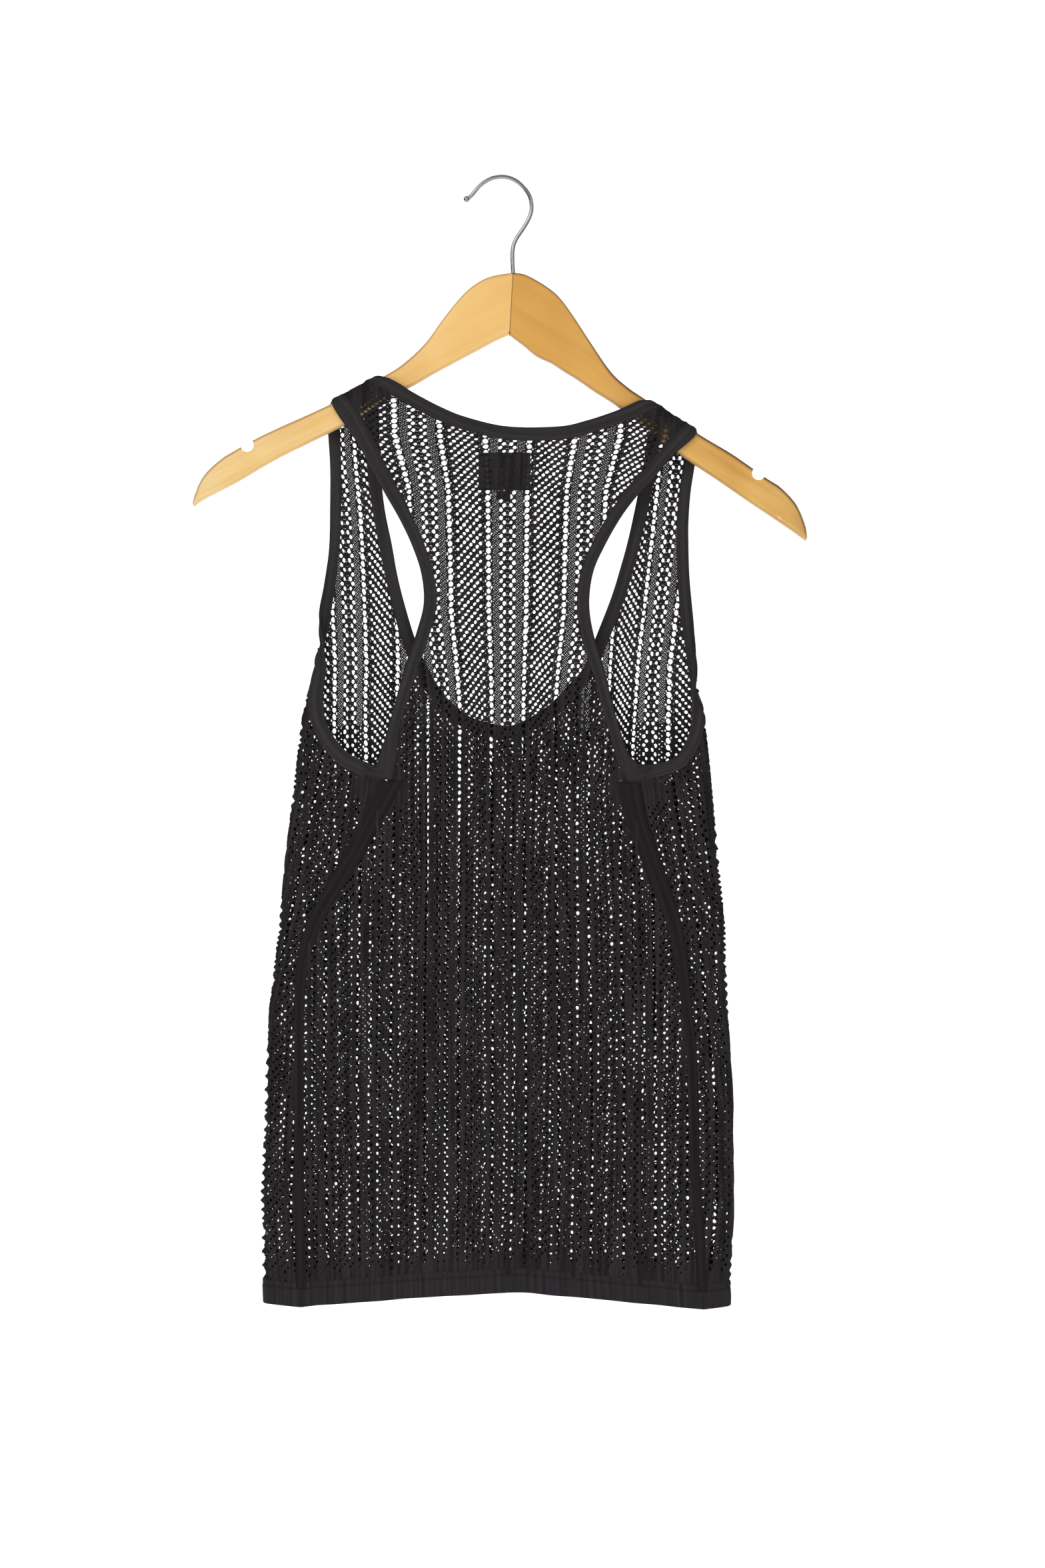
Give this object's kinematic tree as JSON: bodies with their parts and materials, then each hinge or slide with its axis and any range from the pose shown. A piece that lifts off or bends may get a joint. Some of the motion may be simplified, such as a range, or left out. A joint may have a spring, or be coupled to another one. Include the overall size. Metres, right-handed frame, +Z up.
{
  "type": "knitted racerback tank top on a wooden hanger",
  "caption": "Sleeveless openwork knit top with a narrow racerback, a deep front scoop and banded edges, hung by its straps on a shaped wooden hanger with a wire hook.",
  "frame": {"origin": "the highest point inside the hook, where a rail carries the hanger", "axes": "+Z up along the hanging top, X across the hanger, +Y from the back panel towards the front panel"},
  "size_m": [0.4444, 0.0365, 0.8197],
  "materials": {
    "back_panel": "matt black openwork knit",
    "front_panel": "matt black openwork knit",
    "neck_band": "matt black plain knit, doubled",
    "armhole_band_left": "matt black plain knit, doubled",
    "armhole_band_right": "matt black plain knit, doubled",
    "hem_band_back": "matt black plain knit, turned up",
    "hem_band_front": "matt black plain knit, turned up",
    "neck_label": "blank woven tape",
    "size_tab": "blank woven tape",
    "hanger_arm_left": "clear satin varnish",
    "hanger_arm_right": "clear satin varnish",
    "hanger_hook": "bright plated wire"
  },
  "bodies": {
    "root": {"back_panel": "back_panel", "front_panel": "front_panel", "neck_band": "neck_band", "armhole_band_left": "armhole_band_left", "armhole_band_right": "armhole_band_right", "hem_band_back": "hem_band_back", "hem_band_front": "hem_band_front", "neck_label": "neck_label", "size_tab": "size_tab", "hanger_arm_left": "hanger_arm_left", "hanger_arm_right": "hanger_arm_right", "hanger_hook": "hanger_hook"}
  },
  "joints": []
}
